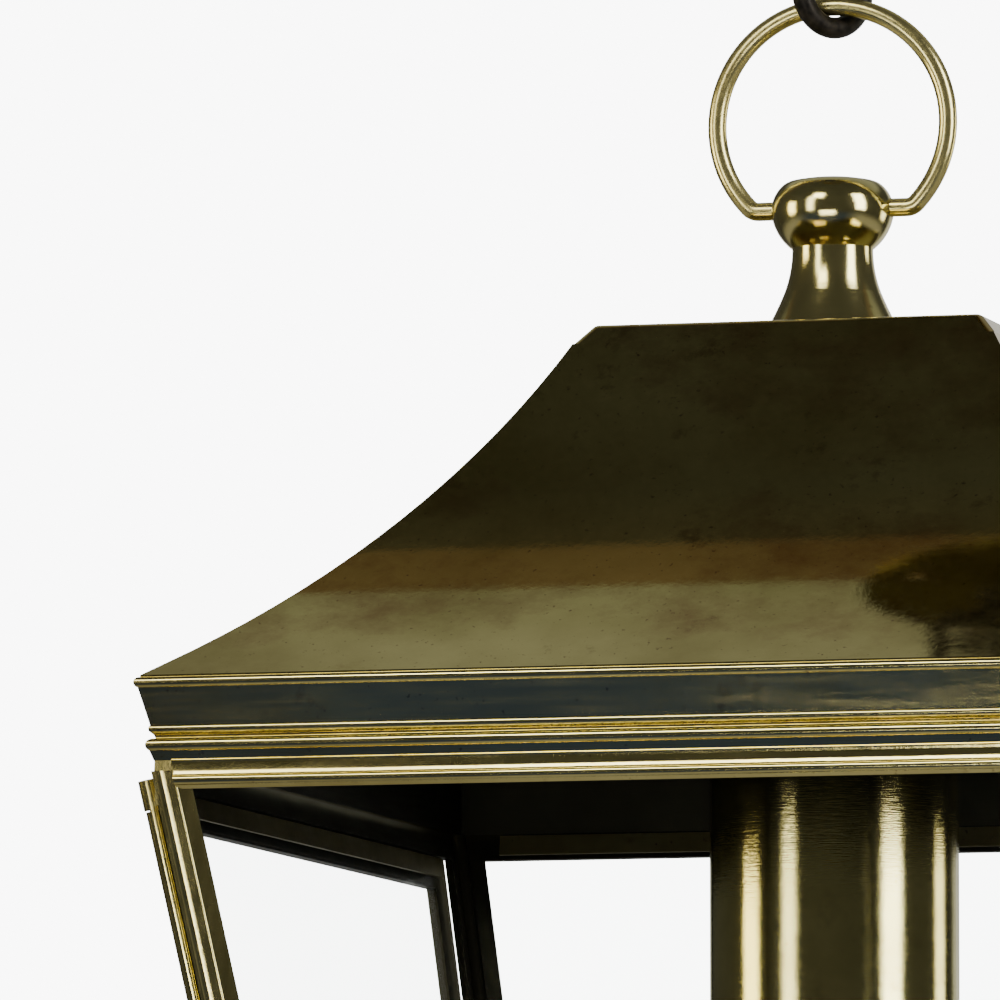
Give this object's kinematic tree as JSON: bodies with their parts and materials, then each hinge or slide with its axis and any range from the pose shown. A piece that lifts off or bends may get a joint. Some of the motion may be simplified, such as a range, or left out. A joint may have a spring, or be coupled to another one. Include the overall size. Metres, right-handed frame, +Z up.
{
  "type": "hanging lantern",
  "caption": "Square tapered glass lantern with a curved hipped brass roof, moulded cornice, hinged door and lamp, hung by a ring and chain from a ceiling plate.",
  "frame": {"origin": "centre of the ceiling plate's top face, where it meets the ceiling", "axes": "+Z up out of the ceiling plate, -Y the lantern's front, -X its door side"},
  "size_m": [0.2299, 0.229, 0.6057],
  "materials": {
    "aged_brass": "polished, aged",
    "plain_brass": "plain",
    "blackened_iron": "blackened",
    "clear_glass": "polished",
    "bulb_glass": "polished",
    "filament_white": "matt",
    "cap_metal": "satin",
    "black_bush": "matt",
    "black_plastic": "gloss",
    "white_ceramic": "glazed"
  },
  "bodies": {
    "ceiling": {"ceiling_plate": "aged_brass", "ceiling_hook": "blackened_iron"},
    "link_1": {"chain_link_1": "blackened_iron"},
    "link_2": {"chain_link_2": "blackened_iron"},
    "link_3": {"chain_link_3": "blackened_iron"},
    "link_4": {"chain_link_4": "blackened_iron"},
    "ring": {"hanging_ring": "aged_brass"},
    "lantern": {"cornice_front": "aged_brass", "cornice_left": "aged_brass", "cornice_rear": "aged_brass", "cornice_right": "aged_brass", "base_moulding_front": "aged_brass", "base_moulding_left": "aged_brass", "base_moulding_rear": "aged_brass", "base_moulding_right": "aged_brass", "post_front_left": "aged_brass", "post_front_right": "aged_brass", "post_rear_left": "aged_brass", "post_rear_right": "aged_brass", "rails_front": "aged_brass", "rails_left": "aged_brass", "rails_rear": "aged_brass", "rails_right": "aged_brass", "roof_panel_front": "aged_brass", "roof_panel_left": "aged_brass", "roof_panel_rear": "aged_brass", "roof_panel_right": "aged_brass", "roof_cap": "aged_brass", "knob": "aged_brass", "knob_neck": "aged_brass", "lamp_tube": "aged_brass", "lamp_tube_lid": "plain_brass", "door_hinge_knuckles": "aged_brass", "door_hinge_pins": "aged_brass", "rod_nuts": "plain_brass", "rod_washers": "plain_brass", "lamp_rod": "plain_brass", "glazing_strips": "plain_brass", "lampholder_screw_shell": "plain_brass", "earth_tag": "plain_brass", "glass_front": "clear_glass", "glass_rear": "clear_glass", "glass_right": "clear_glass", "glass_base": "clear_glass", "bulb_glass": "bulb_glass", "bulb_filament": "filament_white", "bulb_cap": "cap_metal", "earth_screw": "cap_metal", "flex_inlet_bush": "black_bush", "lampholder_dome": "black_plastic", "lampholder_skirt": "black_plastic", "lampholder_insert": "white_ceramic"},
    "door": {"door_hinge_tube": "aged_brass", "door_hinge_stile": "aged_brass", "door_catch_stile": "aged_brass", "door_rails": "aged_brass", "door_glass": "clear_glass", "door_knob": "aged_brass", "door_catch_spring": "plain_brass", "door_glazing_strips": "plain_brass"}
  },
  "joints": [
    {"name": "hook_to_link_1", "type": "hinge", "parent": "ceiling", "child": "link_1", "pos_m": [0, 0, -0.031], "axis": [0.5878, 0.809, 0], "range_deg": [-25, 25]},
    {"name": "link_1_to_link_2", "type": "hinge", "parent": "link_1", "child": "link_2", "pos_m": [0, 0, -0.0574], "axis": [-0.809, 0.5878, 0], "range_deg": [-25, 25]},
    {"name": "link_2_to_link_3", "type": "hinge", "parent": "link_2", "child": "link_3", "pos_m": [0, 0, -0.0841], "axis": [0.5878, 0.809, 0], "range_deg": [-25, 25]},
    {"name": "link_3_to_link_4", "type": "hinge", "parent": "link_3", "child": "link_4", "pos_m": [0, 0, -0.1108], "axis": [-0.809, 0.5878, 0], "range_deg": [-25, 25]},
    {"name": "ring_on_link_4", "type": "hinge", "parent": "link_4", "child": "ring", "pos_m": [0, 0, -0.1375], "axis": [0.5878, 0.809, 0], "range_deg": [-15, 15]},
    {"name": "lantern_in_ring", "type": "hinge", "parent": "ring", "child": "lantern", "pos_m": [0, 0, -0.175], "axis": [1, 0, 0], "range_deg": [-75, 75]},
    {"name": "door_hinge", "type": "hinge", "parent": "lantern", "child": "door", "pos_m": [-0.1136, -0.10774, -0.29764], "axis": [-0.1735, -0.1735, 0.9694], "range_deg": [0, 105]}
  ]
}
